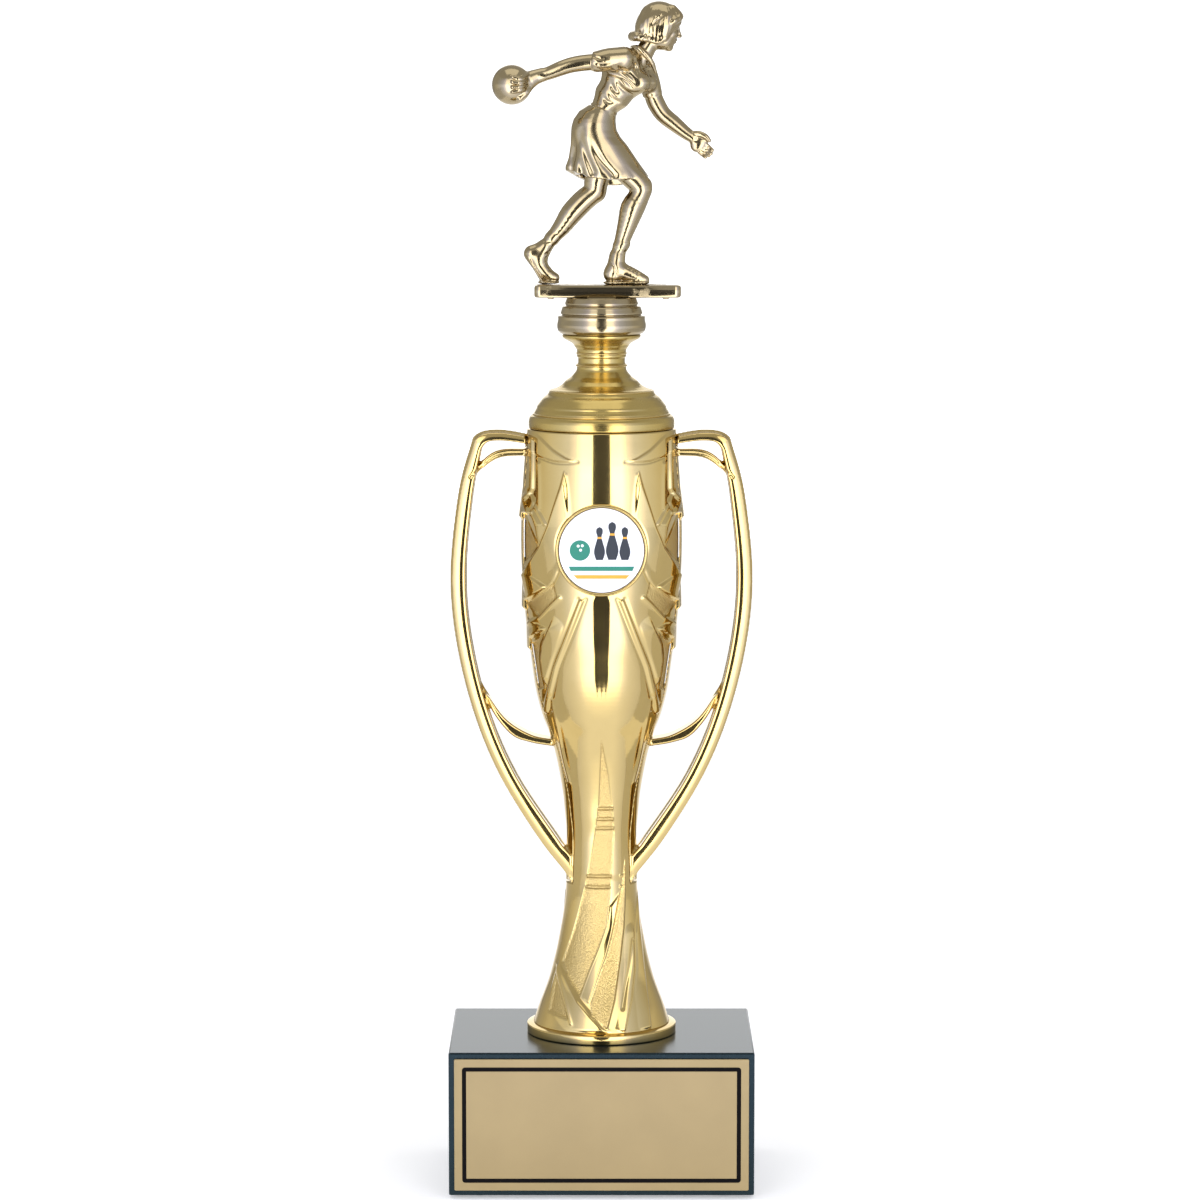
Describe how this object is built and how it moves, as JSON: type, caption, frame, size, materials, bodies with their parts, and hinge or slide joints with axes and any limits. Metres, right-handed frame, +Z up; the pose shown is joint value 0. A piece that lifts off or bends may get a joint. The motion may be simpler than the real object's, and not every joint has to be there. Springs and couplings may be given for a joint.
{
  "type": "bowling trophy",
  "caption": "Slim lidded cup with two strap handles on a stone block, topped by a bowler figure that screws onto the central rod.",
  "frame": {"origin": "centre of the underside, on the axis of the central rod, at the level the pads stand on", "axes": "+Z up along the rod, +X to the viewer's right and the way the bowler faces, -Y the front with the plaque and the emblem"},
  "size_m": [0.09, 0.0649, 0.3501],
  "materials": {
    "black_marble": "polished near-black stone",
    "pad_foam": "matt closed-cell foam",
    "adhesive_tape": "white foam tape",
    "plaque_metal": "satin gold anodised sheet with a black printed border",
    "zinc_steel": "bright zinc plated",
    "gold_plastic": "vacuum-metallised warm gold, high gloss",
    "champagne_plastic": "vacuum-metallised pale champagne gold, high gloss",
    "emblem_print": "white printed insert under clear gloss",
    "brass_insert": "turned brass"
  },
  "bodies": {
    "stand": {"marble_base": "black_marble", "foot_pad_front_left": "pad_foam", "foot_pad_front_right": "pad_foam", "foot_pad_back_left": "pad_foam", "foot_pad_back_right": "pad_foam", "plaque_tape": "adhesive_tape", "plaque": "plaque_metal", "centre_rod": "zinc_steel", "base_washer": "zinc_steel", "base_nut": "zinc_steel", "neck_washer": "zinc_steel", "neck_nut": "zinc_steel", "cup_body": "gold_plastic", "handle_left": "gold_plastic", "handle_right": "gold_plastic", "emblem_bezel": "gold_plastic", "emblem_tape": "adhesive_tape", "emblem_disc": "emblem_print", "lid": "gold_plastic"},
    "collar": {"figure_collar": "champagne_plastic"},
    "topper": {"figure_plate": "champagne_plastic", "thread_insert": "brass_insert", "bowler_figure": "champagne_plastic"}
  },
  "joints": [
    {"name": "topper_turn", "type": "hinge", "parent": "stand", "child": "collar", "pos_m": [0, 0, 0.253], "axis": [0, 0, 1], "range_deg": [0, 2970]},
    {"name": "topper_rise", "type": "slide", "parent": "collar", "child": "topper", "axis": [0, 0, 1], "range_m": [0, 0.00826]}
  ],
  "couplings": [
    {"joint": "topper_rise", "follows": "topper_turn", "m_per_rad": 0.00015915}
  ]
}
